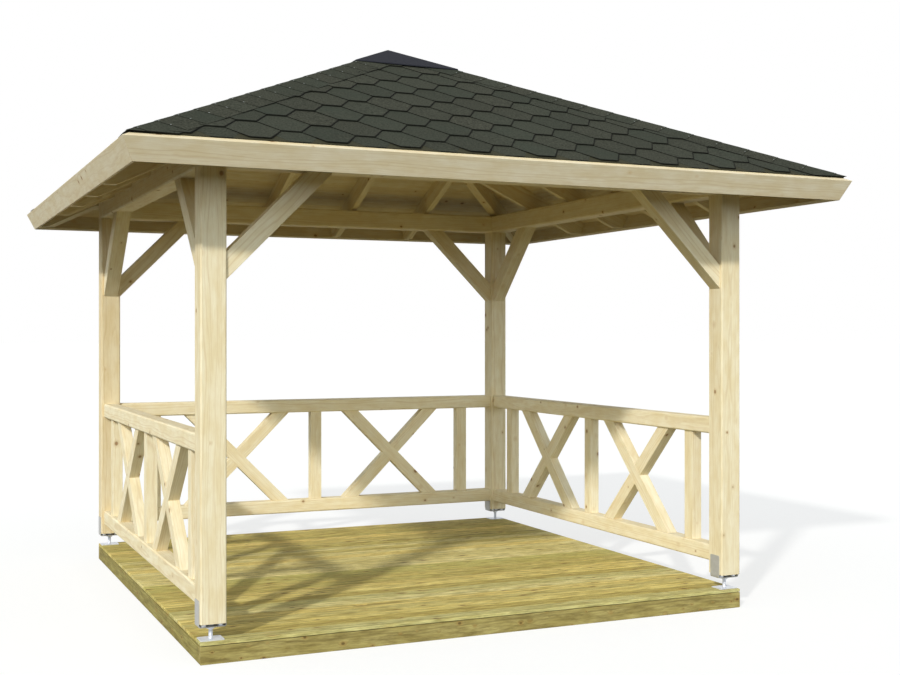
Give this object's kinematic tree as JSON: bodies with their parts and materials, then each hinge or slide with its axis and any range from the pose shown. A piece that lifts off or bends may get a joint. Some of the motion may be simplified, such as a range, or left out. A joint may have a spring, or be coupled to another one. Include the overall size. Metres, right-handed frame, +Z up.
{
  "type": "open garden gazebo",
  "caption": "Square open timber garden gazebo on a low deck: corner posts, braced beams, crossed railings on three sides and a pyramid roof of shingles with a metal cap.",
  "frame": {"origin": "on the ground at the centre of the square deck", "axes": "+Z up, the open entrance side faces -Y, +X to the right when looking in"},
  "size_m": [3.75, 3.75, 3.174],
  "materials": {
    "spruce_timber": "planed pale softwood with brown knots, untreated",
    "deck_timber": "planed boards, pressure treated to a greenish tone",
    "galvanised_steel": "dull zinc coating",
    "shingle": "bitumen felt shingles with dark mineral granules",
    "cap_sheet": "dark blue-grey coated sheet"
  },
  "bodies": {
    "root": {"apex_block": "spruce_timber", "back_diagonals": "spruce_timber", "back_half_diagonals": "spruce_timber", "back_rails": "spruce_timber", "back_uprights": "spruce_timber", "beam_back": "spruce_timber", "beam_front": "spruce_timber", "beam_left": "spruce_timber", "beam_right": "spruce_timber", "braces_back": "spruce_timber", "braces_front": "spruce_timber", "braces_left": "spruce_timber", "braces_right": "spruce_timber", "deck_boards": "deck_timber", "deck_joists": "deck_timber", "deck_long_rims": "deck_timber", "fascia_back": "spruce_timber", "fascia_front": "spruce_timber", "fascia_left": "spruce_timber", "fascia_right": "spruce_timber", "hip_rafters": "spruce_timber", "hip_shingles": "shingle", "left_diagonals": "spruce_timber", "left_half_diagonals": "spruce_timber", "left_rails": "spruce_timber", "left_uprights": "spruce_timber", "post_back_left": "spruce_timber", "post_back_right": "spruce_timber", "post_feet": "galvanised_steel", "post_front_left": "spruce_timber", "post_front_right": "spruce_timber", "rafters_back": "spruce_timber", "rafters_front": "spruce_timber", "rafters_left": "spruce_timber", "rafters_right": "spruce_timber", "right_diagonals": "spruce_timber", "right_half_diagonals": "spruce_timber", "right_rails": "spruce_timber", "right_uprights": "spruce_timber", "roof_boards_back": "spruce_timber", "roof_boards_front": "spruce_timber", "roof_boards_left": "spruce_timber", "roof_boards_right": "spruce_timber", "roof_cap": "cap_sheet", "roof_shingles": "shingle"}
  },
  "joints": []
}
